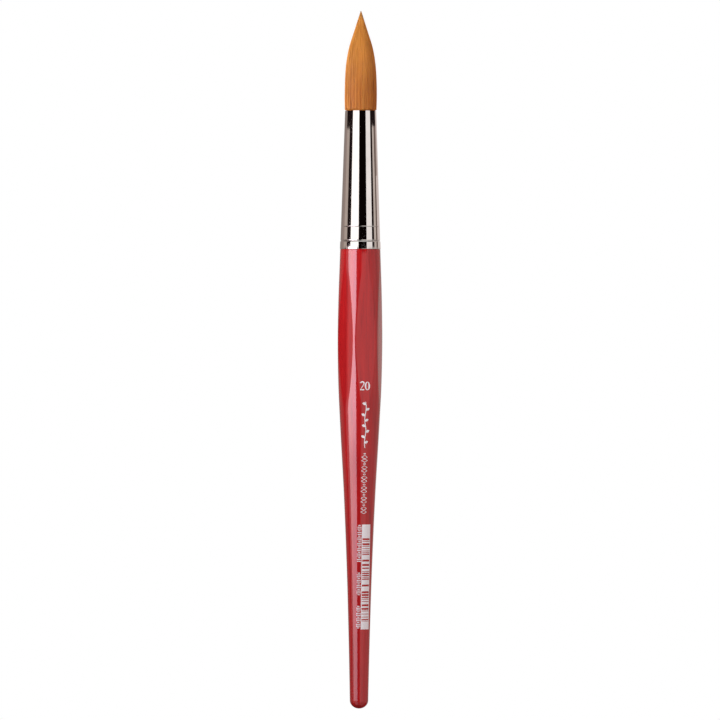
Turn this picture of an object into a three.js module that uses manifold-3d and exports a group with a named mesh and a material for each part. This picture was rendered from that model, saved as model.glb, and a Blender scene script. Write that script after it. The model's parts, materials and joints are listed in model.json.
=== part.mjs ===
// A round artist's brush, size 20: a red lacquered beech handle with a six-sided belly, a seamless
// nickel-plated ferrule crimped in two places, and a pointed tuft of synthetic fibre.
//
// Units are millimetres and +Z is up. The brush stands on its axis with the tuft at the top, and the
// origin is on the axis at the widest station of the grip. Heights in this file are measured up from
// the butt end of the handle; the outermost group brings them down to the origin.

import * as THREE from "three";
import { mergeVertices } from "three/addons/utils/BufferGeometryUtils.js";
import Module from "manifold-3d";

// ---------- driving dimensions ----------

const TOTAL_LENGTH = 265;
const HANDLE_LENGTH = 174.4; // butt to the ferrule's lower rim
const FERRULE_LENGTH = 52.5;
const GRIP_HEIGHT = 140; // the widest station, where the fingers hold it
const ACROSS_FLATS = 15.66; // of the six flats planed on the belly
const FLAT_COUNT = 6;

const BUTT_RADIUS = 3.5; // the rounded end of the handle
const BUTT_HEIGHT = 3.15;
const LACQUER = 0.25; // all the coats together
const FIT_GAP = 0.05; // left between two pieces that touch on the real brush
const END_GAP = 0.1; // the same, between two pieces that meet end to end
const TENON_LENGTH = 20; // the bare wood that goes up into the ferrule
const TENON_ROOT = 4; // of the tenon inside the handle's own form
const TENON_CHAMFER = 0.8;
const ADHESIVE = 0.15; // the film between tenon and ferrule
const ADHESIVE_UP = 0.3; // from the ferrule's rim to where the film begins

const FERRULE_BASE_RADIUS = 7.5;
const FERRULE_MOUTH_RADIUS = 5.91;
const FERRULE_WALL = 0.4;
const HEM_HEIGHT = 2.3; // the lower rim, folded back on itself
const HEM_PROUD = 0.24;
const HEM_EDGE = 0.25; // how far its rounded edges reach
const LIP = 0.18; // edge rounding at the mouth
// Rings rolled into the ferrule, biting into the tenon: how far up the ferrule, how deep, half as wide.
const CRIMPS = [
  { up: 2.75, depth: 0.26, half: 0.45 },
  { up: 8.8, depth: 0.2, half: 0.35 },
];

const HEEL_DEPTH = 18.4; // fibre hidden below the mouth
const HEEL_RADIUS = 5.3;
const HEEL_MOUTH_RADIUS = 5.41;
const HEEL_CHAMFER = 0.3;
const WAIST_UP = 2.2; // from the fibres' cut ends to the tie
const WAIST_RADIUS = 4.9;
const WAIST_MARGIN = 0.3; // of bare waist on either side of the thread
const WAIST_FLARE = 2; // height over which the heel fills out again
const THREAD_RADIUS = 0.18;
const THREAD_TURNS = 4;
const THREAD_PITCH = 0.45;
const CEMENT_BASE = 3.4; // resin below the fibres' cut ends
const CEMENT_RISE = 7; // resin up around the heel
const CEMENT_RADIUS_INSIDE = 5.58;
const CEMENT_GAP = 0.08;
const MENISCUS = 0.2;

// The free tuft bends at four places, across and fore-and-aft in turn. Heights above the ferrule's mouth.
const BENDS = [
  { name: "tuft_belly_lower", up: 4.6, limit: 15 },
  { name: "tuft_belly_upper", up: 13.4, limit: 15 },
  { name: "tuft_shoulder", up: 21.3, limit: 24 },
  { name: "tuft_point", up: 29.6, limit: 24 },
];
const BEND_MARGIN = 2; // degrees kept free past each limit
const BALL_GAP = 0.3;

const OUTER_SEGMENTS = 36; // around the visible turned pieces
const INNER_SEGMENTS = 24; // around hidden and soft pieces

const mouth = HANDLE_LENGTH + FERRULE_LENGTH;
const shoulder = HANDLE_LENGTH - END_GAP;
const tenonTop = HANDLE_LENGTH + TENON_LENGTH;
const heelEnd = mouth - HEEL_DEPTH;

// ---------- outlines, as (radius, height) ----------

// The handle as turned, before the flats are planed: a slim tail swelling to the belly
// and drawn in at the ferrule.
const handleCurve = new THREE.SplineCurve(
  [
    [BUTT_RADIUS, BUTT_HEIGHT],
    [3.97, 25],
    [4.76, 52],
    [5.92, 80],
    [7.32, 105],
    [8.36, 126],
    [8.71, GRIP_HEIGHT],
    [8.4, 153],
    [7.94, 165],
    [7.64, shoulder],
  ].map(([radius, height]) => new THREE.Vector2(radius, height)),
);

// The free tuft: it swells just past the ferrule's lip, is fullest a sixth of the way up,
// and runs to a fine point.
const tuftCurve = new THREE.SplineCurve(
  [
    [HEEL_MOUTH_RADIUS, mouth],
    [5.95, mouth + 1.2],
    [6.12, mouth + 5.8],
    [6.03, mouth + 11.9],
    [5.62, mouth + 18],
    [4.62, mouth + 24],
    [2.86, mouth + 30],
    [0.92, mouth + 36],
    [0, TOTAL_LENGTH],
  ].map(([radius, height]) => new THREE.Vector2(radius, height)),
);
const tuftSamples = tuftCurve.getPoints(400);

function tuftRadius(height) {
  const above = tuftSamples.findIndex((point) => point.y > height);
  const [low, high] = [tuftSamples[above - 1], tuftSamples[above]];
  return THREE.MathUtils.mapLinear(height, low.y, high.y, low.x, high.x);
}

// The ferrule's plain cone, before its crimps and hem.
function coneRadius(height) {
  return THREE.MathUtils.mapLinear(height, HANDLE_LENGTH, mouth, FERRULE_BASE_RADIUS, FERRULE_MOUTH_RADIUS);
}

// How far the crimps push every layer inwards at this height.
function crimpDent(height) {
  let dent = 0;
  for (const crimp of CRIMPS) {
    const off = Math.abs(height - HANDLE_LENGTH - crimp.up) / crimp.half;
    dent += crimp.depth * Math.max(0, 1 - off);
  }
  return dent;
}

// Heights that follow the crimps, from low to high, so that nested layers bend at the same places.
function crimpedHeights(low, high) {
  const edges = CRIMPS.flatMap((crimp) =>
    [-1, 0, 1].map((side) => HANDLE_LENGTH + crimp.up + side * crimp.half),
  );
  return [low, ...edges, high];
}

// Points along part of an ellipse, taken the short way round.
function arc(x, y, xRadius, yRadius, fromDegrees, toDegrees, steps) {
  const [from, to] = [fromDegrees, toDegrees].map(THREE.MathUtils.degToRad);
  return new THREE.EllipseCurve(x, y, xRadius, yRadius, from, to, to < from).getPoints(steps);
}

// ---------- solids ----------

const wasm = await Module();
wasm.setup();

// Revolves a profile that starts and ends on the axis, or closes on itself, and runs up the outside.
function revolve(profile, segments) {
  return new THREE.LatheGeometry(profile, segments).rotateX(Math.PI / 2);
}

function toSolid(geometry) {
  const bare = geometry.clone();
  bare.deleteAttribute("normal");
  bare.deleteAttribute("uv");
  const merged = mergeVertices(bare, 1e-4);
  return new wasm.Manifold(
    new wasm.Mesh({
      numProp: 3,
      vertProperties: merged.attributes.position.array,
      triVerts: new Uint32Array(merged.index.array),
    }),
  );
}

function toGeometry(solid) {
  const mesh = solid.getMesh();
  const geometry = new THREE.BufferGeometry();
  geometry.setAttribute("position", new THREE.BufferAttribute(mesh.vertProperties, 3));
  geometry.setIndex(new THREE.BufferAttribute(mesh.triVerts, 1));
  geometry.computeVertexNormals();
  return geometry;
}

// A six-sided prism round the axis, one flat facing -Y.
function flatsPrism(acrossFlats) {
  const cornerRadius = acrossFlats / 2 / Math.cos(Math.PI / FLAT_COUNT);
  return new THREE.CylinderGeometry(cornerRadius, cornerRadius, 2 * TOTAL_LENGTH, FLAT_COUNT)
    .rotateX(Math.PI / 2)
    .rotateZ(Math.PI / FLAT_COUNT);
}

// The handle's outer form drawn in by `inset` all over and cut level at the shoulder.
function handleForm(inset) {
  const butt = arc(0, BUTT_HEIGHT, BUTT_RADIUS - inset, BUTT_HEIGHT - inset, -90, 0, 4);
  const side = handleCurve.getPoints(18).slice(1);
  const turned = [
    ...butt,
    ...side.map((point) => new THREE.Vector2(point.x - inset, point.y)),
    new THREE.Vector2(0, shoulder),
  ];
  return toSolid(revolve(turned, OUTER_SEGMENTS)).intersect(toSolid(flatsPrism(ACROSS_FLATS - 2 * inset)));
}

// ---------- the pieces ----------

// Beech, turned and planed, with the bare tenon that the ferrule is crimped on to.
function handleBlank() {
  const radiusAt = (height) => coneRadius(height) - FERRULE_WALL - ADHESIVE - 2 * FIT_GAP - crimpDent(height);
  const tenon = [
    new THREE.Vector2(0, shoulder - TENON_ROOT),
    new THREE.Vector2(radiusAt(shoulder), shoulder - TENON_ROOT),
    ...crimpedHeights(shoulder, tenonTop - TENON_CHAMFER).map((z) => new THREE.Vector2(radiusAt(z), z)),
    new THREE.Vector2(radiusAt(tenonTop) - TENON_CHAMFER, tenonTop),
    new THREE.Vector2(0, tenonTop),
  ];
  return toGeometry(handleForm(LACQUER + FIT_GAP).add(toSolid(revolve(tenon, OUTER_SEGMENTS))));
}

// The coats of lacquer as one jacket, closed round the butt and open at the ferrule.
function lacquerCoat() {
  return toGeometry(handleForm(0).subtract(handleForm(LACQUER)));
}

// A drawn tube with a folded lower hem, two crimps and a rounded mouth.
function ferrule() {
  const hemTop = HANDLE_LENGTH + HEM_HEIGHT;
  const hemRadius = (height) => coneRadius(height) + HEM_PROUD;
  const outside = [
    new THREE.Vector2(hemRadius(HANDLE_LENGTH) - HEM_EDGE / 2, HANDLE_LENGTH),
    new THREE.Vector2(hemRadius(HANDLE_LENGTH), HANDLE_LENGTH + HEM_EDGE),
    new THREE.Vector2(hemRadius(hemTop), hemTop - 2 * HEM_EDGE),
    new THREE.Vector2(hemRadius(hemTop) - HEM_EDGE / 2, hemTop - HEM_EDGE / 2),
    ...crimpedHeights(hemTop, mouth - LIP)
      .slice(1)
      .map((z) => new THREE.Vector2(coneRadius(z) - crimpDent(z), z)),
  ];
  const lip = arc(FERRULE_MOUTH_RADIUS - FERRULE_WALL / 2, mouth - LIP, FERRULE_WALL / 2, LIP, 0, 180, 4);
  const inside = crimpedHeights(HANDLE_LENGTH, mouth - LIP)
    .map((z) => new THREE.Vector2(coneRadius(z) - FERRULE_WALL - crimpDent(z), z))
    .reverse();
  const profile = [...outside, ...lip.slice(1, -1), ...inside, outside[0].clone()];
  return revolve(profile, OUTER_SEGMENTS);
}

// The glue film round the tenon, pressed in where the crimps are.
function ferruleAdhesive() {
  const heights = crimpedHeights(HANDLE_LENGTH + ADHESIVE_UP, tenonTop - TENON_CHAMFER);
  const radiusAt = (height) => coneRadius(height) - FERRULE_WALL - FIT_GAP - crimpDent(height);
  const outside = heights.map((z) => new THREE.Vector2(radiusAt(z), z));
  const inside = heights.map((z) => new THREE.Vector2(radiusAt(z) - ADHESIVE, z)).reverse();
  return revolve([...outside, ...inside, outside[0].clone()], OUTER_SEGMENTS);
}

// The resin plug that the fibres' cut ends are set in.
function tuftCement() {
  const bottom = heelEnd - CEMENT_BASE;
  const top = heelEnd + CEMENT_RISE;
  const floor = heelEnd - END_GAP;
  const outsideAt = (height) => coneRadius(height) - FERRULE_WALL - CEMENT_GAP;
  return revolve(
    [
      new THREE.Vector2(0, bottom),
      new THREE.Vector2(outsideAt(bottom), bottom),
      new THREE.Vector2(outsideAt(top), top),
      new THREE.Vector2(CEMENT_RADIUS_INSIDE, top - MENISCUS),
      new THREE.Vector2(CEMENT_RADIUS_INSIDE, floor),
      new THREE.Vector2(0, floor),
    ],
    INNER_SEGMENTS,
  );
}

// Waxed thread wound round the heel before the fibres are set in resin.
function tuftThread() {
  const radius = WAIST_RADIUS + FIT_GAP + THREAD_RADIUS;
  const height = THREAD_TURNS * THREAD_PITCH;
  class Winding extends THREE.Curve {
    getPoint(t, target = new THREE.Vector3()) {
      const angle = 2 * Math.PI * THREAD_TURNS * t;
      return target.set(radius * Math.cos(angle), radius * Math.sin(angle), height * (t - 0.5));
    }
  }
  const section = new THREE.Shape().absarc(0, 0, THREAD_RADIUS, 0, 2 * Math.PI);
  return new THREE.ExtrudeGeometry(section, {
    extrudePath: new Winding(),
    steps: THREAD_TURNS * INNER_SEGMENTS,
    curveSegments: 3,
    bevelEnabled: false,
  });
}

// The ball on which the tuft bends at one place: its centre on the axis and its radius, large enough that the
// socket above it never dips below the ball's middle.
function ballOf(bend) {
  const centre = mouth + bend.up;
  const swing = THREE.MathUtils.degToRad(bend.limit + BEND_MARGIN);
  return { centre, radius: tuftRadius(centre) / Math.cos(swing) };
}

// The height at which the tuft's outline meets a sphere round the axis.
function outlineMeets(centre, radius) {
  let [low, high] = [centre, TOTAL_LENGTH];
  for (let step = 0; step < 40; step++) {
    const middle = (low + high) / 2;
    if (Math.hypot(tuftRadius(middle), middle - centre) < radius) low = middle;
    else high = middle;
  }
  return low;
}

// A spherical cap's profile from the axis down to the tuft's outline.
function capProfile(centre, radius) {
  const edge = outlineMeets(centre, radius);
  const edgeDegrees = THREE.MathUtils.radToDeg(Math.atan2(edge - centre, tuftRadius(edge)));
  return { edge, points: arc(0, centre, radius, radius, 90, edgeDegrees, 5) };
}

function outlineBetween(low, high) {
  const steps = 5;
  return Array.from({ length: steps - 1 }, (_, i) => {
    const height = low + ((high - low) * (i + 1)) / steps;
    return new THREE.Vector2(tuftRadius(height), height);
  });
}

// The fibres' fixed part: cut ends, the waist under the thread, the run up the ferrule, and the first ball.
function tuftHeel() {
  const waist = heelEnd + WAIST_UP;
  const waistHalf = (THREAD_TURNS * THREAD_PITCH) / 2 + THREAD_RADIUS + WAIST_MARGIN;
  const ball = ballOf(BENDS[0]);
  const cap = capProfile(ball.centre, ball.radius);
  return revolve(
    [
      new THREE.Vector2(0, heelEnd),
      new THREE.Vector2(HEEL_RADIUS - HEEL_CHAMFER, heelEnd),
      new THREE.Vector2(WAIST_RADIUS, waist - waistHalf),
      new THREE.Vector2(WAIST_RADIUS, waist + waistHalf),
      new THREE.Vector2(HEEL_RADIUS, waist + waistHalf + WAIST_FLARE),
      new THREE.Vector2(HEEL_MOUTH_RADIUS, mouth),
      ...outlineBetween(mouth, cap.edge),
      ...cap.points.reverse(),
    ],
    INNER_SEGMENTS,
  );
}

// One free length of the tuft, with a socket over the ball below it and a ball, or the point, at its top.
// Its heights are measured from the ball that it turns on.
function tuftLength(index) {
  const below = ballOf(BENDS[index]);
  const socket = capProfile(below.centre, below.radius + BALL_GAP);
  const isPoint = index === BENDS.length - 1;
  const above = isPoint ? null : ballOf(BENDS[index + 1]);
  const cap = isPoint
    ? { edge: TOTAL_LENGTH, points: [new THREE.Vector2(0, TOTAL_LENGTH)] }
    : capProfile(above.centre, above.radius);
  const profile = [...socket.points, ...outlineBetween(socket.edge, cap.edge), ...cap.points.reverse()];
  return revolve(profile, INNER_SEGMENTS).translate(0, 0, -below.centre);
}

// ---------- materials ----------

const finish = (color, roughness, metalness = 0) =>
  new THREE.MeshStandardMaterial({ color, roughness, metalness });

const beech = finish(0xd9b184, 0.65);
const redLacquer = finish(0xa5262a, 0.12);
const nickel = finish(0xc9c3bd, 0.12, 1);
const glue = finish(0xe9dfbd, 0.4);
const resin = finish(0xb98a4a, 0.25);
const thread = finish(0xe6ddc8, 0.9);
const fibre = finish(0xc27a3c, 0.5);

// ---------- assembly ----------

function piece(name, geometry, material) {
  const mesh = new THREE.Mesh(geometry, material);
  mesh.name = name;
  return mesh;
}

const brush = new THREE.Group();
brush.position.z = -GRIP_HEIGHT;

const handle = new THREE.Group();
handle.add(piece("handle_blank", handleBlank(), beech));
handle.add(piece("lacquer_coat", lacquerCoat(), redLacquer));
brush.add(handle);

const collar = new THREE.Group();
const tie = piece("tuft_thread", tuftThread(), thread);
tie.position.z = heelEnd + WAIST_UP;
collar.add(piece("ferrule", ferrule(), nickel));
collar.add(piece("ferrule_adhesive", ferruleAdhesive(), glue));
collar.add(piece("tuft_cement", tuftCement(), resin));
collar.add(tie);
collar.add(piece("tuft_heel", tuftHeel(), fibre));
brush.add(collar);

// Each length of the tuft hangs from the one below it, turning about its own ball.
let carrier = brush;
let carrierHeight = 0;
BENDS.forEach((bend, index) => {
  const length = new THREE.Group();
  length.position.z = mouth + bend.up - carrierHeight;
  length.add(piece(bend.name, tuftLength(index), fibre));
  carrier.add(length);
  carrier = length;
  carrierHeight = mouth + bend.up;
});

const part = new THREE.Group();
part.add(brush);

export default part;
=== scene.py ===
"""The looks of a round paint brush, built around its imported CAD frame.

Everything is in metres, in the CAD frame: the brush stands on the Z axis with its tuft at the top, and the
flat that carries the printing faces -Y. Heights and radii are read off the frame's own nodes and joints.
"""

import json
import math

import bpy
import numpy as np
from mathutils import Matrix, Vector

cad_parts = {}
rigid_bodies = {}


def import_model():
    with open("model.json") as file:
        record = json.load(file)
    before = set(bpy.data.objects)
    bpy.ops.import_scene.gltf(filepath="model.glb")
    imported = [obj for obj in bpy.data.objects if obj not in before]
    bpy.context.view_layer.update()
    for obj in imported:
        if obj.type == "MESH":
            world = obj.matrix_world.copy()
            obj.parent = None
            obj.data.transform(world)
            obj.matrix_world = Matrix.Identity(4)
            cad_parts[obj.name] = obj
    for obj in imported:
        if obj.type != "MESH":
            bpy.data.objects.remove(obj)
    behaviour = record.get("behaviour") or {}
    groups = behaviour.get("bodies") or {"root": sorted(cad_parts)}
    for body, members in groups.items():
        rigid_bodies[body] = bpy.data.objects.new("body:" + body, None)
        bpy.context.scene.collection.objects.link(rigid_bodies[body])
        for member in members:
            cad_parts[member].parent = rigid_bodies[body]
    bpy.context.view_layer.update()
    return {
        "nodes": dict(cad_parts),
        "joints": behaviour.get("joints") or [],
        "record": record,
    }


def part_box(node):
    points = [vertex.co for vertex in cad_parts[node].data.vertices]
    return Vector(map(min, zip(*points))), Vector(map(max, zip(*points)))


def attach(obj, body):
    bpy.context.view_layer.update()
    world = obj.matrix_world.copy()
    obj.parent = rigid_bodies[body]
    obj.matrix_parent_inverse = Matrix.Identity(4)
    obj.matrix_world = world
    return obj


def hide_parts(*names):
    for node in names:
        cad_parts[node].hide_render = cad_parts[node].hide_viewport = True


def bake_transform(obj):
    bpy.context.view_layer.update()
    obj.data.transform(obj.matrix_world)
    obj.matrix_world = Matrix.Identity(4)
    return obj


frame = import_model()
rng = np.random.default_rng(20)

MM = 0.001


# ---------- the frame's measures ----------


def widest(node, low, high):
    """The largest radius of a CAD node between two heights."""
    points = np.array([v.co for v in frame["nodes"][node].data.vertices])
    inside = points[(points[:, 2] >= low) & (points[:, 2] <= high)]
    return np.hypot(inside[:, 0], inside[:, 1]).max()


lacquer_low, lacquer_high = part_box("lacquer_coat")
ferrule_low, ferrule_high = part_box("ferrule")
heel_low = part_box("tuft_heel")[0]
thread_low, thread_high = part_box("tuft_thread")

BUTT = lacquer_low.z
SHOULDER = lacquer_high.z
RIM = ferrule_low.z
MOUTH = ferrule_high.z
HEEL = heel_low.z
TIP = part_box("tuft_point")[1].z
LENGTH = TIP - BUTT

HALF_FLATS = lacquer_high.y
BELLY_RADIUS = widest("lacquer_coat", BUTT, SHOULDER)
HEM_RADIUS = ferrule_high.x
MOUTH_RADIUS = widest("ferrule", MOUTH - 0.5 * MM, MOUTH)
TUFT_RADIUS = widest("tuft_belly_lower", MOUTH, TIP)
TIE_RADIUS = widest("tuft_thread", thread_low.z, thread_high.z)

FLATS = 6
PRINTED_FLAT = -math.pi / 2
LACQUER = 0.25 * MM
FERRULE_WALL = 0.4 * MM
HEM_PROUD = 0.1 * MM
BEVEL = 0.06 * MM  # on the lacquer's top edge and the ferrule's lip

# The free tuft is cut level where one bend's reach ends and the next begins, so each hinge is half-way
# between two cuts. The first bend begins just above the ferrule.
chain = [frame["joints"][0]["parent"]] + [joint["child"] for joint in frame["joints"]]
cuts = [MOUTH + 0.1 * MM]
for joint in frame["joints"]:
    cuts.append(2 * joint["pos_m"][2] - cuts[-1])


# ---------- outlines ----------


def outline(stations, steps=40):
    """A smooth curve through (height, radius) stations, as a function from height to radius."""
    points = np.array(stations, float)
    ends = np.vstack([points[:1], points, points[-1:]])
    t = np.linspace(0, 1, steps, endpoint=False)[:, None]
    spans = []
    for a, b, c, d in zip(ends, ends[1:], ends[2:], ends[3:]):
        start, finish = (c - a) / 2, (d - b) / 2
        bow = (2 * t**3 - 3 * t**2 + 1) * b + (t**3 - 2 * t**2 + t) * start
        spans.append(bow + (3 * t**2 - 2 * t**3) * c + (t**3 - t**2) * finish)
    curve = np.vstack(spans + [points[-1:]])
    return lambda height: np.interp(height, curve[:, 0], curve[:, 1])


def smoothstep(value, low, high):
    """From 0 at `low` to 1 at `high`, level at both ends."""
    t = np.clip((value - low) / (high - low), 0, 1)
    return t * t * (3 - 2 * t)


HANDLE_LENGTH = SHOULDER - BUTT
DOME_SHARE = 0.018  # how much of the handle's length its domed butt takes

# The handle as turned: shares of its length, and shares of the belly's radius.
turned = outline(
    [
        (BUTT + HANDLE_LENGTH * length_share, BELLY_RADIUS * radius_share)
        for length_share, radius_share in [
            (DOME_SHARE, 0.402),
            (0.143, 0.456),
            (0.298, 0.5465),
            (0.459, 0.680),
            (0.602, 0.840),
            (0.723, 0.960),
            (0.803, 1.0),
            (0.878, 0.964),
            (0.947, 0.912),
            (1.0, 0.877),
        ]
    ]
)

# The free tuft: fullest a sixth of the way up, then drawn in to a fine point.
FREE_LENGTH = TIP - MOUTH
tuft_radius = outline(
    [
        (MOUTH + FREE_LENGTH * length_share, TUFT_RADIUS * radius_share)
        for length_share, radius_share in [
            (-0.12, 0.865),
            (0.0, 0.885),
            (0.004, 0.96),
            (0.02, 0.985),
            (0.152, 1.0),
            (0.312, 0.98),
            (0.472, 0.908),
            (0.63, 0.735),
            (0.787, 0.435),
            (0.945, 0.12),
            (1.0, 0.012),
        ]
    ]
)


# ---------- meshes ----------


def mesh_object(name, points, faces, material, sharp_degrees=40):
    """A smooth-shaded object whose edges are sharp where they turn by more than `sharp_degrees`."""
    mesh = bpy.data.meshes.new(name)
    mesh.from_pydata(points, [], faces)
    mesh.validate()
    mesh.shade_smooth()
    mesh.set_sharp_from_angle(angle=math.radians(sharp_degrees))
    mesh.materials.append(material)
    piece = bpy.data.objects.new(name, mesh)
    bpy.context.scene.collection.objects.link(piece)
    return piece


def sharpen_ends(piece):
    """Marks the rims of the level end faces sharp, so that pieces cut level meet without a visible seam."""
    faces_up_or_down = 0.95
    same_height = 0.001 * MM
    mesh = piece.data
    at_end = np.zeros(len(mesh.vertices), bool)
    for face in mesh.polygons:
        if abs(face.normal.z) > faces_up_or_down:
            at_end[list(face.vertices)] = True
    heights = np.array([vertex.co.z for vertex in mesh.vertices])
    pairs = np.array([edge.vertices for edge in mesh.edges])
    level = np.abs(heights[pairs[:, 0]] - heights[pairs[:, 1]]) < same_height
    mesh.edges.foreach_set("use_edge_sharp", level & at_end[pairs].all(axis=1))


def joined(parts):
    """Several (points, faces) as one."""
    points, faces, used = [], [], 0
    for part_points, part_faces in parts:
        points.append(np.asarray(part_points))
        faces += [[index + used for index in face] for face in part_faces]
        used += len(part_points)
    return np.vstack(points), faces


def shell(rings, closed_loop=False):
    """A closed surface from rings of equal size, each running anticlockwise seen from above. The rings
    follow the section's outline, up on the outside. A loop's last ring joins its first."""
    rings = np.asarray(rings)
    count, size, _ = rings.shape
    points = rings.reshape(-1, 3)
    faces = []
    for k in range(count if closed_loop else count - 1):
        low, high = k * size, (k + 1) % count * size
        for i in range(size):
            j = (i + 1) % size
            faces.append([low + i, low + j, high + j, high + i])
    if not closed_loop:
        points = np.vstack([points, rings[0].mean(0), rings[-1].mean(0)])
        bottom, top = count * size, count * size + 1
        last = (count - 1) * size
        for i in range(size):
            j = (i + 1) % size
            faces.append([bottom, j, i])
            faces.append([top, last + i, last + j])
    return points, faces


def circle(segments):
    """Evenly spaced angles round the axis."""
    return np.arange(segments) * 2 * math.pi / segments


def ring(angles, radius, height):
    """Points round the axis; the radius and the height may differ from point to point."""
    points = np.empty((len(angles), 3))
    points[:, 0] = radius * np.cos(angles)
    points[:, 1] = radius * np.sin(angles)
    points[:, 2] = height
    return points


def tube_part(rings):
    """A closed tube with flat ends, as (points, faces)."""
    steps, size, _ = rings.shape
    faces = [list(range(size))[::-1]]
    for low in range(0, (steps - 1) * size, size):
        for i in range(size):
            j = (i + 1) % size
            faces.append([low + i, low + j, low + size + j, low + size + i])
    last = (steps - 1) * size
    faces.append([last + i for i in range(size)])
    return rings.reshape(-1, 3), faces


# ---------- handle ----------

HANDLE_SEGMENTS = 216
HANDLE_STEP = 0.6 * MM
EDGE_SOFTNESS = 0.03 * MM  # how far the lacquer rounds the flats' edges
CROWN = 0.06 * MM  # how far the middle of a flat stands out, where the flat is widest


def handle_radius(angle, height):
    """The lacquered surface: as turned, and cut back to the flats with softened edges."""
    sixth = 2 * math.pi / FLATS
    from_flat = (np.asarray(angle) - PRINTED_FLAT + sixth / 2) % sixth - sixth / 2
    off_middle = np.tan(from_flat) / math.tan(math.acos(HALF_FLATS / BELLY_RADIUS))
    flat = (HALF_FLATS - CROWN * off_middle**2) / np.cos(from_flat)
    round_form = turned(height)
    deeper = np.minimum(flat, round_form)
    apart = np.abs(flat - round_form) / EDGE_SOFTNESS
    return deeper - EDGE_SOFTNESS * np.log1p(np.exp(-apart))


def lacquer_rings(inset, step):
    """Rings up from the middle of the domed butt to the shoulder, an even inset inside the surface."""
    angles = circle(HANDLE_SEGMENTS)
    dome_top = BUTT + HANDLE_LENGTH * DOME_SHARE
    rings = []
    for lean in np.radians(np.linspace(1, 87, 24)):
        reach = (turned(dome_top) - inset) * math.sin(lean)
        drop = (dome_top - BUTT - inset) * math.cos(lean)
        rings.append(ring(angles, reach, dome_top - drop))
    for height in np.linspace(dome_top, SHOULDER, round((SHOULDER - dome_top) / step)):
        rings.append(ring(angles, handle_radius(angles, height) - inset, height))
    return rings


def build_lacquer(material):
    """The coats of lacquer as a jacket: the outside, a bevelled top edge, and the inside down again."""
    outside = lacquer_rings(0, HANDLE_STEP)
    angles = circle(HANDLE_SEGMENTS)
    outside[-1] = ring(angles, handle_radius(angles, SHOULDER - BEVEL), SHOULDER - BEVEL)
    outside.append(ring(angles, handle_radius(angles, SHOULDER) - BEVEL, SHOULDER))
    inside = lacquer_rings(LACQUER, 4 * HANDLE_STEP)
    points, faces = shell(outside + inside[::-1])
    return mesh_object("lacquer_skin", points, faces, material)


# ---------- ferrule ----------

FERRULE_SEGMENTS = 192
CRIMPS = [  # height above the rim, depth, width of the side below; the side above is a third as wide
    (3.25 * MM, 0.12 * MM, 0.6 * MM),
    (8.6 * MM, 0.05 * MM, 0.24 * MM),
]
HEM_HEIGHT = 3.05 * MM
HEM_FADE = 0.35 * MM  # how far below its top the hem starts to sink into the tube


def ferrule_cone(height):
    """The tube's outer radius, without its hem and crimps."""
    return np.interp(height, [RIM, MOUTH], [HEM_RADIUS - HEM_PROUD, MOUTH_RADIUS])


def crimp_dent(height):
    """How deep the crimps dent the tube at a height."""
    dent = 0
    for up, depth, width in CRIMPS:
        above = height - RIM - up
        off = abs(above) / width * (3 if above > 0 else 1)
        dent += depth * (1 + math.cos(math.pi * off)) / 2 if off < 1 else 0
    return dent


def build_ferrule(material):
    """The drawn tube: a rounded foot, the hem and crimps in fine steps, the plain cone, the lip, and the
    inside down again."""
    angles = circle(FERRULE_SEGMENTS)
    highest_crimp, _, crimp_width = CRIMPS[-1]
    worked = RIM + highest_crimp + 2 * crimp_width
    bend = HEM_PROUD / 2
    foot = ferrule_cone(RIM) + HEM_PROUD - bend
    bore = MOUTH_RADIUS - FERRULE_WALL
    section = []
    for lean in np.radians(np.linspace(-75, 0, 5)):
        section.append((foot + bend * math.cos(lean), RIM + bend * (1 + math.sin(lean))))
    for height in np.linspace(RIM + HEM_PROUD, worked, 180):
        hem = HEM_PROUD * (1 - smoothstep(height - RIM, HEM_HEIGHT - HEM_FADE, HEM_HEIGHT))
        section.append((ferrule_cone(height) + hem - crimp_dent(height), height))
    for height in np.linspace(worked, MOUTH - BEVEL, 40)[1:]:
        section.append((ferrule_cone(height), height))
    section += [(MOUTH_RADIUS - BEVEL, MOUTH), (bore + BEVEL, MOUTH)]
    for height in np.linspace(MOUTH - BEVEL, worked, 12):
        section.append((ferrule_cone(height) - FERRULE_WALL, height))
    for height in np.linspace(worked, RIM, 60)[1:]:
        section.append((ferrule_cone(height) - FERRULE_WALL - crimp_dent(height), height))
    points, faces = shell([ring(angles, reach, height) for reach, height in section], closed_loop=True)
    return mesh_object("ferrule_shell", points, faces, material)


# ---------- tuft ----------

FILAMENT = 0.16 * MM
FILAMENT_STEP = 1.3 * MM
TAPER_LENGTH = 11 * MM
FINEST = 0.12  # how thin a filament's point is, as a share of its thickness
ROOT = MOUTH - 3 * MM  # where the separate filaments start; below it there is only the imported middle
LAYERS = [  # number of filaments, depth below the surface
    (440, 0.0),
    (340, 0.2 * MM),
    (240, 0.45 * MM),
]
CORE_DEPTH = 0.6 * MM  # how far below the tuft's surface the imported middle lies
CORE_SHORT = 0.12 * MM  # how far below the tip it ends
CORE_STEP = 0.8 * MM
CORE_TONE = 0.3
SWELL = MOUTH + np.array([0, 0.15, 0.35, 0.75]) * MM  # where the tuft swells over the ferrule's lip
STAGGER = 0.6 * MM  # how far from a cut a filament's own join can be, so that no ring of joins shows
LOWEST_END = MOUTH + 0.3 * FREE_LENGTH
FEWEST_AT_TIP = 0.06  # the share of the filaments that reach the tip
NEAREST_AXIS = 0.02 * MM
CLUMPS = [(11, 1), (27, 4), (46, 0)]  # waves of tone round the bundle: how many, and where each starts


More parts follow.
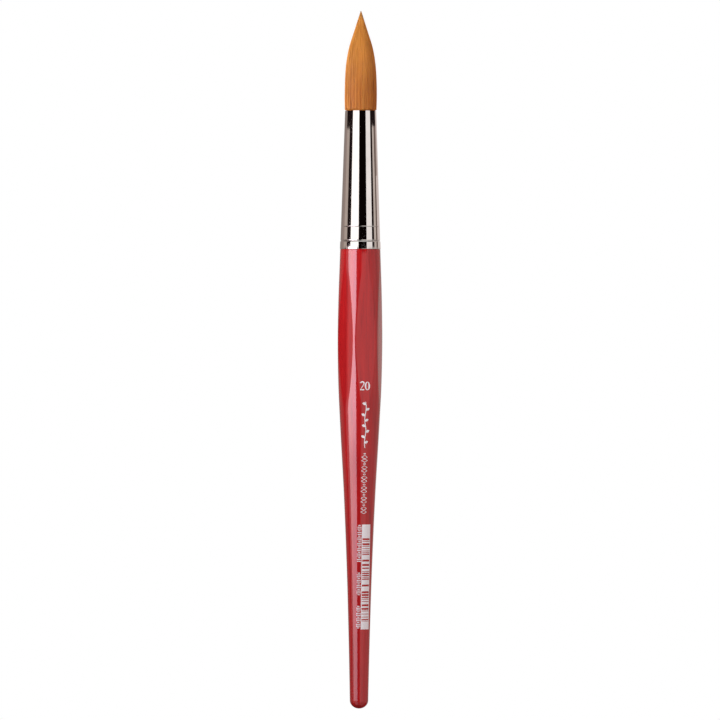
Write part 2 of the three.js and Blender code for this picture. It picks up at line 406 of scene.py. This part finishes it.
def plan_filaments():
    """One row for each filament: angle, depth, end height, wander, phase, tone and stagger. They end one by
    one on the way up, so that as many are left at each height as there is room for."""
    heights = np.linspace(LOWEST_END, TIP, 400)
    shares = tuft_radius(heights) / TUFT_RADIUS
    rows = []
    for count, depth in LAYERS:
        angles = circle(count) + rng.normal(0, 0.35, count) * 2 * math.pi / count
        ranks = rng.permutation(count) / count
        for angle, rank in zip(angles, ranks):
            end = np.interp(-max(rank, FEWEST_AT_TIP), -shares, heights)
            end += rng.normal(0, 0.4 * MM)
            clump = sum(math.sin(waves * angle + shift) for waves, shift in CLUMPS)
            rows.append(
                {
                    "angle": angle,
                    "depth": depth + abs(rng.normal(0, 0.05 * MM)),
                    "end": min(end, TIP - abs(rng.normal(0, 0.25 * MM))),
                    "wander": rng.normal(0, 0.03),
                    "phase": rng.uniform(0, 2 * math.pi),
                    "tone": float(np.clip(0.5 + 0.1 * clump + rng.normal(0, 0.13), 0, 1)),
                    "stagger": rng.uniform(-STAGGER, STAGGER),
                }
            )
    return rows


def filament_rings(row, low, high):
    """Level four-cornered rings along one filament, between two heights."""
    steps = max(2, round((high - low) / FILAMENT_STEP) + 1)
    heights = np.linspace(low, high, steps)
    if low < MOUTH:
        heights = np.union1d(heights, SWELL)
    rise = (heights - MOUTH) / FREE_LENGTH
    angle = row["angle"] + row["wander"] * np.sin(4 * rise + row["phase"])
    taper = FINEST + (1 - FINEST) * smoothstep(row["end"] - heights, 0, TAPER_LENGTH)
    half = FILAMENT / 2 * taper
    narrowing = tuft_radius(heights) / TUFT_RADIUS
    ripple = 0.02 * MM * np.sin(9 * rise + 2 * row["phase"])
    middle = tuft_radius(heights) - half - (row["depth"] + ripple) * narrowing
    middle = np.maximum(middle, NEAREST_AXIS)
    rings = np.empty((len(heights), 4, 3))
    for corner, (out, round_) in enumerate([(1, 0), (0, 1), (-1, 0), (0, -1)]):
        reach = middle + out * half
        turn = angle + round_ * half / middle
        rings[:, corner, 0] = reach * np.cos(turn)
        rings[:, corner, 1] = reach * np.sin(turn)
        rings[:, corner, 2] = heights
    return rings


def core_part(low, high):
    """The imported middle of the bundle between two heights. Inside the ferrule it is cut level at the heel,
    drawn in by the tie, and out again to the mouth."""
    angles = circle(48)
    tie = (thread_low.z + thread_high.z) / 2
    inside = outline(
        [
            (HEEL - 1 * MM, 5.0 * MM),
            (HEEL + 0.4 * MM, 4.9 * MM),
            (tie, TIE_RADIUS - 0.5 * MM),
            (tie + 3.4 * MM, 5.25 * MM),
            (ROOT, 5.2 * MM),
            (MOUTH, tuft_radius(MOUTH) - CORE_DEPTH / 2),
        ]
    )
    rings = []
    for height in np.linspace(low, high, max(4, round((high - low) / CORE_STEP))):
        narrowing = tuft_radius(height) / TUFT_RADIUS
        radius = inside(height) if height < MOUTH else tuft_radius(height) - CORE_DEPTH * narrowing
        rings.append(ring(angles, radius, height))
    return shell(rings)


def build_tuft(material):
    """The bundle as one piece for each hinge, each piece spanning its own hinge."""
    rows = plan_filaments()
    cad_nodes = [frame["record"]["behaviour"]["bodies"][body] for body in chain[1:]]
    cad_nodes[0] = ["tuft_heel"] + cad_nodes[0]
    for index, nodes in enumerate(cad_nodes):
        low, high = cuts[index], cuts[index + 1]
        is_first, is_last = index == 0, index == len(cad_nodes) - 1
        core_low = HEEL if is_first else low
        core_high = TIP - CORE_SHORT if is_last else high
        parts = [core_part(core_low, core_high)]
        tones = [np.full(len(parts[0][0]), CORE_TONE)]
        for row in rows:
            start = ROOT if is_first else low + row["stagger"]
            finish = row["end"] if is_last else min(high + row["stagger"], row["end"])
            if finish - start > 0.05 * MM:
                parts.append(tube_part(filament_rings(row, start, finish)))
                tones.append(np.full(len(parts[-1][0]), row["tone"]))
        points, faces = joined(parts)
        piece = mesh_object(nodes[-1] + "_fibres", points, faces, material, sharp_degrees=100)
        sharpen_ends(piece)
        tone = piece.data.attributes.new("tone", "FLOAT", "POINT")
        tone.data.foreach_set("value", np.concatenate(tones).astype(np.float32))
        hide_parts(*nodes)
        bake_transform(piece)


# ---------- printing ----------

INK = 0.02 * MM

# Heights above the butt.
NUMERALS = 120.9 * MM
SPRIG = (99 * MM, 116.5 * MM)
LOZENGES = (72.8 * MM, 97.5 * MM)
PANEL = (30.2 * MM, 70 * MM)
TICKS = [(55.7 * MM, 70 * MM), (42.8 * MM, 51.9 * MM), (30.2 * MM, 39.3 * MM)]

NUMERAL_HEIGHT = 3.2 * MM


def ink_stroke(path, half_widths, columns=2):
    """A thin raised ribbon laid on the handle along a path of (sideways along the surface, height) points.
    Wide ribbons need more columns, so that they follow the handle's round."""
    path = np.array(path, float)
    ahead = np.gradient(path, axis=0)
    ahead /= np.linalg.norm(ahead, axis=1)[:, None]
    across = np.stack([ahead[:, 1], -ahead[:, 0]], axis=1) * np.array(half_widths)[:, None]
    top, under = [], []
    for share in np.linspace(1, -1, columns):
        line = path + share * across
        angles = PRINTED_FLAT + line[:, 0] / turned(line[:, 1])
        surface = handle_radius(angles, line[:, 1])
        top.append(ring(angles, surface + INK, line[:, 1]))
        under.append(ring(angles, surface - INK, line[:, 1]))
    return tube_part(np.stack(under + top[::-1], axis=1))


def numeral_two(side, base, height):
    """A plain two: a hook drawn round the top, a diagonal, and a foot."""
    radius = 0.215 * height
    top = base + height - radius
    hook = [
        (side + radius * math.cos(a), top + radius * math.sin(a))
        for a in np.radians(np.linspace(165, -35, 22))
    ]
    foot = [(side - 1.05 * radius, base + 0.06 * height)]
    drop = [tuple(np.array(hook[-1]) + (np.array(foot[0]) - hook[-1]) * t) for t in (0.25, 0.5, 0.75)]
    path = hook + drop + foot
    widths = np.interp(np.linspace(0, 1, len(path)), [0, 0.15, 0.6, 0.85, 1], [0.1, 0.05, 0.09, 0.05, 0.03])
    bar = [(side - 1.15 * radius, base + 0.06 * height), (side + 1.15 * radius, base + 0.06 * height)]
    return [ink_stroke(path, widths * height), ink_stroke(bar, [0.06 * height] * 2)]


def numeral_nought(side, base, height):
    """An upright oval, thin at its top and foot."""
    turns = np.linspace(0, 2 * math.pi, 41)
    path = [
        (side + 0.24 * height * math.sin(a), base + height / 2 - 0.46 * height * math.cos(a)) for a in turns
    ]
    return [ink_stroke(path, height * (0.035 + 0.06 * np.sin(turns) ** 2))]


def leaf_sprig(side, low, high):
    """An ornament: a stem that waves twice, with a leaf at every seventh point on alternate sides."""
    stem_points, leaf_points = 60, 9
    heights = np.linspace(high, low, stem_points)
    wave = 0.25 * MM * np.sin((high - heights) / (high - low) * 4 * math.pi)
    stem = np.stack([side + wave, heights], axis=1)
    parts = [ink_stroke(stem, np.full(stem_points, 0.14 * MM))]
    along = np.linspace(0, 1, leaf_points)
    widths = 0.5 * MM * np.sin(np.linspace(0.15, math.pi - 0.02, leaf_points))
    for count, root in enumerate(stem[4:-4:7]):
        lean = 1 if count % 2 else -1
        path = [root + np.array([lean * 1.45 * t, 1.1 * t - 0.35 * t * t]) * MM for t in along]
        parts.append(ink_stroke(path, widths))
    return parts


def upright(side, low, high, steps):
    """A straight path down the handle."""
    return [(side, height) for height in np.linspace(high, low, steps)]


def lozenge_row(side, low, high, half):
    """Outlined lozenges in pairs, with a smaller one between the pairs."""
    parts = []
    pitch = 1.3 * MM
    points = 25
    corners = np.arange(5)
    turns = np.linspace(0, 4, points)
    sideways = np.interp(turns, corners, [0, 1, 0, -1, 0])
    upwards = np.interp(turns, corners, [1, 0, -1, 0, 1])
    for index in range(int((high - low) / pitch)):
        size = half if index % 3 else 0.4 * half
        centre = high - (index + 0.5) * pitch
        path = np.stack([side + size * sideways, centre + 0.55 * size * upwards], axis=1)
        parts.append(ink_stroke(path, np.full(points, 0.085 * MM)))
    return parts


def tick_row(side, low, high, half):
    """Fine ticks of two lengths, evenly spaced."""
    parts = []
    pitch = 0.68 * MM
    thick = 0.3 * MM
    for index in range(int((high - low) / pitch)):
        reach = half if index % 3 else 0.55 * half
        centre = high - (index + 0.5) * pitch
        path = upright(side, centre - thick / 2, centre + thick / 2, 2)
        parts.append(ink_stroke(path, [reach] * 2, columns=5))
    return parts


def bar_panel(side, low, high, half):
    """A panel with bars of several widths left out of it, in no order; its two ends are solid."""
    rail = 0.07 * half
    rail_steps = 60
    step = 0.8 * MM
    solid_head, solid_foot = 5.2 * MM, 3 * MM
    gaps, bars = [0.26, 0.26, 0.5, 0.76], [0.3, 0.3, 0.6, 0.9, 1.8]
    parts = []
    for edge in (-1, 1):
        path = upright(side + edge * (half - rail), low, high, rail_steps)
        parts.append(ink_stroke(path, [rail] * rail_steps))
    inner = half - 2 * rail
    foot = low + solid_foot
    top, bottom = high, high - solid_head
    while top > foot:
        steps = max(2, round((top - bottom) / step) + 1)
        parts.append(ink_stroke(upright(side, bottom, top, steps), [inner] * steps, columns=9))
        top = bottom - rng.choice(gaps) * MM
        bottom = max(top - rng.choice(bars) * MM, foot)
    parts.append(ink_stroke(upright(side, low, foot, 5), [inner] * 5, columns=9))
    return parts


def build_printing(material):
    """White marks down the printed flat and on below it, from the size number to the bar panel."""
    parts = numeral_two(-1.35 * MM, BUTT + NUMERALS, NUMERAL_HEIGHT)
    parts += numeral_nought(0.75 * MM, BUTT + NUMERALS, NUMERAL_HEIGHT)
    parts += leaf_sprig(0.05 * MM, *(BUTT + up for up in SPRIG))
    parts += lozenge_row(0, *(BUTT + up for up in LOZENGES), 1.15 * MM)
    parts += bar_panel(1.25 * MM, *(BUTT + up for up in PANEL), 1.83 * MM)
    for low, high in TICKS:
        parts += tick_row(-1.5 * MM, BUTT + low, BUTT + high, 0.78 * MM)
    points, faces = joined(parts)
    return mesh_object("printed_marks", points, faces, material, sharp_degrees=60)


# ---------- materials ----------


class Nodes:
    """A node tree under construction. Sockets are named with underscores for spaces."""

    def __init__(self, tree):
        self.tree = tree

    def node(self, kind, settings=None, **inputs):
        made = self.tree.nodes.new("ShaderNode" + kind)
        for setting, value in (settings or {}).items():
            setattr(made, setting, value)
        for socket, value in inputs.items():
            self.feed(made.inputs[socket.replace("_", " ")], value)
        return made

    def feed(self, socket, value):
        """Links a socket to another's output, or sets it to a plain value."""
        if isinstance(value, bpy.types.NodeSocket):
            self.tree.links.new(value, socket)
        else:
            socket.default_value = value

    def feed_all(self, sockets, values):
        """Feeds several sockets in order."""
        for socket, value in zip(sockets, values):
            self.feed(socket, value)


class Finish(Nodes):
    """A material under construction, on a Principled shader."""

    def __init__(self, name, **sockets):
        self.material = bpy.data.materials.new(name)
        self.material.use_nodes = True
        super().__init__(self.material.node_tree)
        self.shader = self.tree.nodes["Principled BSDF"]
        for socket, value in sockets.items():
            self.shader.inputs[socket.replace("_", " ")].default_value = value

    def place(self, stretch):
        """The point on the object in metres, scaled by `stretch` along X, Y and Z."""
        where = self.node("TexCoord").outputs["Object"]
        return self.node("Mapping", Vector=where, Scale=stretch).outputs["Vector"]

    def noise(self, stretch, detail=3.0, roughness=0.5, distortion=0.0):
        made = self.node(
            "TexNoise",
            Vector=self.place(stretch),
            Scale=1.0,
            Detail=detail,
            Roughness=roughness,
            Distortion=distortion,
        )
        return made.outputs["Fac"]

    def ramp(self, value, stops):
        """A colour from a value, by way of (position, colour) stops."""
        made = self.node("ValToRGB", Fac=value)
        elements = made.color_ramp.elements
        while len(elements) < len(stops):
            elements.new(0.5)
        for element, (position, colour) in zip(elements, stops):
            element.position = position
            element.color = (*colour, 1)
        return made.outputs["Color"]

    def fit(self, value, low, high, new_low, new_high, way="LINEAR"):
        """A value carried over from one range to another, and held at its ends."""
        made = self.node("MapRange", {"interpolation_type": way}, Value=value)
        self.feed_all(made.inputs[1:5], (low, high, new_low, new_high))
        return made.outputs["Result"]

    def mix(self, kind, share, first, second):
        made = self.node("Mix", {"data_type": "RGBA", "blend_type": kind})
        share_socket, first_colour, second_colour = (made.inputs[index] for index in (0, 6, 7))
        self.feed_all((share_socket, first_colour, second_colour), (share, first, second))
        return made.outputs[2]

    def bump(self, height, strength, distance, socket="Normal"):
        made = self.node("Bump", Height=height, Strength=strength, Distance=distance)
        self.feed(self.shader.inputs[socket], made.outputs["Normal"])

    def drive(self, socket, value):
        self.feed(self.shader.inputs[socket], value)


def lacquer_finish():
    """Transparent red over fine beech: lengthwise grain, short darker flecks, and a hard gloss coat."""
    finish = Finish("red_lacquer", Coat_Weight=1.0, Coat_Roughness=0.035, Coat_IOR=1.52)
    finish.shader.inputs["Specular IOR Level"].default_value = 0.05
    grain = finish.noise((900, 900, 45), detail=5, roughness=0.6, distortion=0.4)
    colour = finish.ramp(
        grain,
        [
            (0.25, (0.315, 0.005, 0.008)),
            (0.5, (0.44, 0.009, 0.0125)),
            (0.78, (0.515, 0.016, 0.016)),
        ],
    )
    flecks = finish.noise((2600, 2600, 420), detail=2, roughness=0.4)
    flecks = finish.fit(flecks, 0.56, 0.68, 0, 0.15)
    colour = finish.mix("MULTIPLY", flecks, colour, (0.45, 0.3, 0.3, 1))
    broad = finish.fit(finish.noise((120, 120, 25), detail=2), 0.3, 0.7, 0, 0.25)
    colour = finish.mix("MULTIPLY", broad, colour, (0.75, 0.6, 0.6, 1))
    finish.drive("Base Color", colour)
    finish.drive("Roughness", finish.fit(grain, 0.3, 0.7, 0.34, 0.22))
    finish.bump(grain, 0.12, 0.00003)
    finish.bump(finish.noise((260, 260, 90), detail=2), 0.015, 0.00005, socket="Coat Normal")
    return finish.material


def nickel_finish():
    """Bright plate over a drawn tube: lengthwise drawing lines, faint haze and a few pinholes."""
    finish = Finish("nickel", Metallic=1.0)
    lines = finish.noise((7000, 7000, 50), detail=3, roughness=0.6)
    haze = finish.noise((260, 260, 120), detail=4, roughness=0.6)
    colour = finish.ramp(haze, [(0.3, (0.71, 0.67, 0.64)), (0.7, (0.8, 0.765, 0.735))])
    pits = finish.fit(finish.noise((5200, 5200, 3800), detail=1), 0.74, 0.8, 0, 0.6)
    colour = finish.mix("MULTIPLY", pits, colour, (0.35, 0.3, 0.28, 1))
    finish.drive("Base Color", colour)
    finish.drive("Roughness", finish.fit(haze, 0.3, 0.75, 0.02, 0.06))
    finish.bump(lines, 0.08, 0.00001)
    return finish.material


def fibre_finish():
    """Satin synthetic filament. Each has its own tone, and the bundle is paler where it thins and brown at
    the tip."""
    finish = Finish("golden_fibre", Roughness=0.45, Diffuse_Roughness=1.0)
    finish.shader.inputs["Specular IOR Level"].default_value = 0.25
    tone = finish.node("Attribute", {"attribute_name": "tone"}).outputs["Fac"]
    streak = finish.noise((2600, 2600, 130), detail=3)
    mixed = finish.node("Math", {"operation": "MULTIPLY_ADD"})
    finish.feed_all(mixed.inputs, (streak, 0.35, tone))
    colour = finish.ramp(
        finish.fit(mixed.outputs[0], 0.1, 1.1, 0, 1),
        [
            (0.0, (0.38, 0.095, 0.013)),
            (0.45, (0.56, 0.197, 0.031)),
            (0.75, (0.615, 0.246, 0.04)),
            (1.0, (0.69, 0.34, 0.083)),
        ],
    )
    height = finish.node("SeparateXYZ", Vector=finish.node("TexCoord").outputs["Object"]).outputs["Z"]
    thinning = finish.fit(height, MOUTH + 0.2 * FREE_LENGTH, TIP - 6 * MM, 0, 0.85)
    colour = finish.mix("MIX", thinning, colour, (0.8, 0.4, 0.083, 1))
    tip = finish.fit(height, TIP - 3.5 * MM, TIP, 0, 0.8)
    colour = finish.mix("MULTIPLY", tip, colour, (0.45, 0.42, 0.55, 1))
    finish.drive("Base Color", colour)
    finish.bump(streak, 0.25, 0.00002)
    return finish.material


def ink_finish():
    """Opaque white pad print with slightly uneven cover."""
    finish = Finish("white_ink", Roughness=0.35, Coat_Weight=1.0, Coat_Roughness=0.1)
    cover = finish.noise((3000, 3000, 3000), detail=3)
    finish.drive("Base Color", finish.ramp(cover, [(0.3, (0.76, 0.8, 0.93)), (0.55, (0.84, 0.9, 1.0))]))
    finish.bump(cover, 0.1, 0.00001)
    return finish.material


def beech_finish():
    """Bare beech: fine lengthwise grain and short darker rays."""
    finish = Finish("beech", Roughness=0.6)
    grain = finish.noise((700, 700, 35), detail=6, roughness=0.6, distortion=0.5)
    colour = finish.ramp(grain, [(0.3, (0.5, 0.29, 0.14)), (0.7, (0.72, 0.49, 0.28))])
    rays = finish.fit(finish.noise((2400, 2400, 500), detail=1), 0.6, 0.7, 0, 0.5)
    finish.drive("Base Color", finish.mix("MULTIPLY", rays, colour, (0.6, 0.42, 0.3, 1)))
    finish.bump(grain, 0.3, 0.00005)
    return finish.material


def resin_finish(name, dark, light, roughness):
    """Cast resin or set glue, slightly cloudy."""
    finish = Finish(name, Roughness=roughness, Coat_Weight=0.3, Coat_Roughness=0.1)
    cloud = finish.noise((500, 500, 500), detail=3)
    finish.drive("Base Color", finish.ramp(cloud, [(0.3, dark), (0.7, light)]))
    finish.bump(cloud, 0.2, 0.00005)
    return finish.material


def thread_finish():
    """Waxed linen with its fibres laid across the axis."""
    finish = Finish("waxed_thread", Roughness=0.7, Sheen_Weight=0.3)
    lay = finish.noise((2500, 2500, 9000), detail=3)
    finish.drive("Base Color", finish.ramp(lay, [(0.3, (0.55, 0.46, 0.33)), (0.7, (0.82, 0.75, 0.6))]))
    finish.bump(lay, 0.5, 0.00005)
    return finish.material


def refinish(node, material):
    """Gives a CAD node that keeps its shape a better material."""
    for slot in frame["nodes"][node].material_slots:
        slot.material = material


# ---------- studio ----------

CAMERA_AZIMUTH = math.radians(-15.8)
CAMERA_DISTANCE = 2.2
VIEW_MARGIN = 1.0315  # the frame's height over the brush's
CAMERA_HEIGHT = BUTT + 0.4993 * LENGTH
CAMERA_ROLL = math.radians(-0.16)

# Level directions, from the brush towards the camera and to the camera's right.
to_camera = np.array([math.sin(CAMERA_AZIMUTH), -math.cos(CAMERA_AZIMUTH), 0])
camera_right = np.array([math.cos(CAMERA_AZIMUTH), math.sin(CAMERA_AZIMUTH), 0])


def add_camera():
    """A long lens level with the brush's middle, framing its whole height."""
    data = bpy.data.cameras.new("camera")
    camera = bpy.data.objects.new("camera", data)
    bpy.context.scene.collection.objects.link(camera)
    camera.location = (*(to_camera[:2] * CAMERA_DISTANCE), CAMERA_HEIGHT)
    camera.rotation_euler = (math.pi / 2, CAMERA_ROLL, CAMERA_AZIMUTH)
    data.sensor_width = 36
    data.lens = data.sensor_width * CAMERA_DISTANCE / (LENGTH * VIEW_MARGIN)
    data.clip_start, data.clip_end = 0.1, 20
    bpy.context.scene.camera = camera


DIFFUSE_BOOST = 1.35  # how much stronger the studio is for matt surfaces than it looks in gloss


class Sky(Nodes):
    """The world's light, by direction: degrees round from the camera, to its right, and height."""

    def __init__(self):
        world = bpy.data.worlds.new("studio")
        bpy.context.scene.world = world
        world.use_nodes = True
        super().__init__(world.node_tree)
        self.tree.nodes.clear()
        direction = self.node("TexCoord").outputs["Generated"]
        right = self.dot(direction, camera_right)
        towards = self.dot(direction, to_camera)
        self.path = self.node("LightPath")
        self.light = (0.04, 0.038, 0.037)
        self.round = self.maths("MULTIPLY", self.maths("ARCTAN2", right, towards), 180 / math.pi)
        self.height = self.node("SeparateXYZ", Vector=direction).outputs["Z"]

    def dot(self, vector, axis):
        made = self.node("VectorMath", {"operation": "DOT_PRODUCT"})
        self.feed_all(made.inputs, (vector, axis))
        return made.outputs["Value"]

    def maths(self, operation, *values):
        made = self.node("Math", {"operation": operation})
        self.feed_all(made.inputs, values)
        return made.outputs[0]

    def step(self, value, edge, soft):
        """Rises from 0 to 1 across an edge."""
        made = self.node("MapRange", {"interpolation_type": "SMOOTHSTEP"}, Value=value)
        made.inputs["From Min"].default_value = edge - soft
        made.inputs["From Max"].default_value = edge + soft
        return made.outputs["Result"]

    def band(self, value, low, high, soft):
        """1 between two edges, and 0 outside them."""
        return self.maths("SUBTRACT", self.step(value, low, soft), self.step(value, high, soft))

    def box(self, low, high, soft, floor, ceiling, height_soft, colour, seen_by=None):
        """A soft box between two directions round and two heights, added to the light that one kind of ray
        sees, or that all do."""
        across = self.band(self.round, low, high, soft)
        window = self.maths("MULTIPLY", across, self.band(self.height, floor, ceiling, height_soft))
        if seen_by:
            window = self.maths("MULTIPLY", window, self.path.outputs[seen_by])
        glow = self.node("VectorMath", {"operation": "SCALE"}, Scale=window)
        glow.inputs[0].default_value = colour
        total = self.node("VectorMath", {"operation": "ADD"})
        self.feed_all(total.inputs, (self.light, glow.outputs[0]))
        self.light = total.outputs[0]

    def finish(self):
        """The camera sees plain white behind the brush. Everything else sees the light, and diffuse rays see
        more of it."""
        strength = self.maths("MULTIPLY_ADD", self.path.outputs["Is Diffuse Ray"], DIFFUSE_BOOST - 1, 1)
        lit = self.node("Background", Color=self.light, Strength=strength)
        white = self.node("Background", Color=(1, 1, 1, 1))
        chosen = self.node("MixShader")
        shades = (self.path.outputs["Is Camera Ray"], lit.outputs[0], white.outputs[0])
        self.feed_all(chosen.inputs, shades)
        self.node("OutputWorld", Surface=chosen.outputs[0])


def add_sky():
    """Far on the left a narrow rosy strip, and on the right a broad weak box, brighter in gloss than in matt
    light; a bounce from below; warm walls on the right, behind and on the left; a pale box overhead; and a
    rosy patch low in front."""
    sky = Sky()
    sky.box(-87.5, -76, 1, -0.45, 0.45, 0.1, (1.2, 0.85, 0.85), seen_by="Is Glossy Ray")
    sky.box(8, 48, 7, -0.45, 0.45, 0.1, (0.9, 0.87, 0.87), seen_by="Is Glossy Ray")
    sky.box(48, 94, 7, -0.45, 0.45, 0.1, (0.62, 0.59, 0.58), seen_by="Is Glossy Ray")
    sky.box(8, 94, 7, -0.95, -0.45, 0.1, (0.5, 0.45, 0.42), seen_by="Is Glossy Ray")
    sky.box(8, 94, 7, -0.45, 0.45, 0.1, (0.64, 0.41, 0.34), seen_by="Is Diffuse Ray")
    sky.box(-181, 181, 3, -2, -0.45, 0.2, (0.3, 0.26, 0.24), seen_by="Is Diffuse Ray")
    sky.box(94, 126, 9, -0.4, 2, 0.1, (0.5, 0.42, 0.4))
    sky.box(126, 152, 9, -0.4, 2, 0.1, (0.38, 0.31, 0.28))
    sky.box(152, 181, 9, -0.4, 2, 0.1, (0.62, 0.54, 0.52))
    sky.box(-181, -101, 3, -0.4, 2, 0.1, (0.27, 0.22, 0.2))
    sky.box(-70, 60, 25, 0.6, 2, 0.1, (0.6, 0.6, 0.6))
    sky.box(-66, -14, 6, -0.9, -0.25, 0.15, (0.9, 0.75, 0.85), seen_by="Is Glossy Ray")
    sky.finish()


def level(_, height):
    """A card's own heights, as they are."""
    return height


def card(name, start, finish, low, high, radius, glow, lift=level):
    """A curved card round the brush: degrees round from the camera, and heights. `glow` gives its light from
    degrees round and height, and `lift` the height it hangs at."""
    size = 24
    points, colours = [], []
    for height in np.linspace(low, high, size):
        for degree in np.linspace(start, finish, size):
            turn = math.radians(degree)
            flat = radius * (math.sin(turn) * camera_right + math.cos(turn) * to_camera)
            points.append((flat[0], flat[1], lift(degree, height)))
            colours.append((*glow(degree, height), 1))
    faces = []
    for k in range(size - 1):
        for i in range(size - 1):
            corner = k * size + i
            faces.append([corner, corner + 1, corner + size + 1, corner + size])
    made = mesh_object(name, points, faces, emitter())
    attribute = made.data.attributes.new("glow", "FLOAT_COLOR", "POINT")
    attribute.data.foreach_set("color", np.array(colours, np.float32).ravel())
    made.visible_camera = False
    made.visible_shadow = False
    made.visible_transmission = False
    return made


def emitter():
    """Light of the colour stored at each point of the mesh."""
    material = bpy.data.materials.new("card")
    material.use_nodes = True
    nodes = Nodes(material.node_tree)
    nodes.tree.nodes.clear()
    stored = nodes.node("Attribute", {"attribute_name": "glow"})
    glow = nodes.node("Emission", Color=stored.outputs["Color"])
    nodes.node("OutputMaterial", Surface=glow.outputs[0])
    return material


def add_softbox():
    """The key light, a tall strip on the left. Gloss sees it far off, weaker towards its foot and outer
    edge. Matt surfaces are lit by a nearer card in its upper part."""

    def reflected(degree, height):
        edge = smoothstep(degree, -78, -64)
        fall = np.interp(height, [-0.34, -0.25, -0.17, -0.14, -0.11], [0, 0.3, 0.55, 0.8, 1])
        cool = smoothstep(degree, -64, -21)
        return [7.8 * edge * fall * share for share in (0.97, 0.88 - 0.03 * cool, 0.94 + 0.08 * cool)]

    card("softbox_seen", -78, -21, -0.34, 0.17, 0.9, reflected).visible_diffuse = False
    lamp = tuple(DIFFUSE_BOOST * share for share in (5.0, 4.85, 4.6))
    card("softbox", -72, -17, 0.06, 0.32, 0.4, lambda *_: lamp).visible_glossy = False


STRIPE_RADIUS = 0.25


def mirrored(degree, height):
    """The height on a card of STRIPE_RADIUS that the camera sees in the ferrule's cone, at a height of the
    ferrule."""
    slope = (ferrule_cone(RIM) - MOUTH_RADIUS) / (MOUTH - RIM)
    rise = (height - CAMERA_HEIGHT) / CAMERA_DISTANCE + 2 * slope * math.cos(math.radians(degree) / 2)
    return height + STRIPE_RADIUS * rise


def add_ferrule_cards():
    """Small cards, seen only in gloss and hung where the ferrule's cone mirrors them, for its upright
    stripes."""
    low, high = RIM, MOUTH + 30 * MM
    fork = MOUTH - 25 * MM
    left, right = MOUTH - 7.2 * MM, MOUTH - 6.2 * MM
    warm, brown = (0.36, 0.28, 0.255), (0.15, 0.105, 0.09)
    tan, light_tan = (0.5, 0.42, 0.38), (0.6, 0.52, 0.48)
    white, pale, rosy = (1.5, 1.47, 1.46), (1.02, 0.98, 0.98), (0.72, 0.62, 0.6)
    black, dark = (0.003, 0.001, 0.001), (0.014, 0.008, 0.008)
    stripes = [  # degrees round, heights on the ferrule, light
        (-125, -108, low, left, warm),
        (-108, -83, low, left, tan),
        (-83, -57.5, low, left, dark),
        (-113, -57.5, left, high, dark),
        (-57.5, -10, low, high, white),
        (-10, 36.5, low - 2.3 * MM, high, black),
        (36.5, 71.5, low, high, pale),
        (71.5, 87.5, low, right, dark),
        (87.5, 105, low, right, light_tan),
        (105, 119, low, right, brown),
        (119, 134, fork, right, warm),
        (71.5, 128, right, high, dark),
        (119, 178, low, fork, rosy),
        (134, 178, fork, high, rosy),
    ]
    for start, finish, foot, head, light in stripes:
        stripe = card("stripe", start, finish, foot, head, STRIPE_RADIUS, lambda *_: light, mirrored)
        stripe.visible_diffuse = False


def floor_finish(centre, radius):
    """Plain pale paint that fades out towards the floor's edge."""
    finish = Finish("floor", Base_Color=(0.9, 0.9, 0.9, 1), Roughness=0.6)
    finish.shader.inputs["Emission Color"].default_value = (1, 1, 1, 1)
    finish.shader.inputs["Emission Strength"].default_value = 0.35
    where = finish.node("TexCoord").outputs["Object"]
    distance = finish.node("VectorMath", {"operation": "DISTANCE"})
    finish.feed_all(distance.inputs, (where, centre))
    finish.drive("Alpha", finish.fit(distance.outputs["Value"], 0.4 * radius, radius, 1, 0, "SMOOTHSTEP"))
    return finish.material


def add_floor():
    """A pale round floor below the butt, which fades out into the white behind it."""
    radius = 0.5
    height = BUTT - 45 * MM
    rim = circle(96)
    material = floor_finish((0, 0, height), radius)
    floor = mesh_object("floor", ring(rim, radius, height), [list(range(len(rim)))], material)
    floor.visible_glossy = False
    floor.visible_diffuse = False


# ---------- assembly ----------

add_camera()
add_sky()
add_softbox()
add_ferrule_cards()
add_floor()
bpy.context.scene.view_settings.view_transform = "Standard"

lacquer = build_lacquer(lacquer_finish())
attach(lacquer, "handle")
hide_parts("lacquer_coat")

ferrule = build_ferrule(nickel_finish())
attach(ferrule, "handle")
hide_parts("ferrule")

printing = build_printing(ink_finish())
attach(printing, "handle")

build_tuft(fibre_finish())

refinish("handle_blank", beech_finish())
refinish("ferrule_adhesive", resin_finish("clear_glue", (0.6, 0.52, 0.34), (0.8, 0.74, 0.52), 0.35))
refinish("tuft_cement", resin_finish("amber_resin", (0.3, 0.13, 0.03), (0.52, 0.28, 0.09), 0.2))
refinish("tuft_thread", thread_finish())
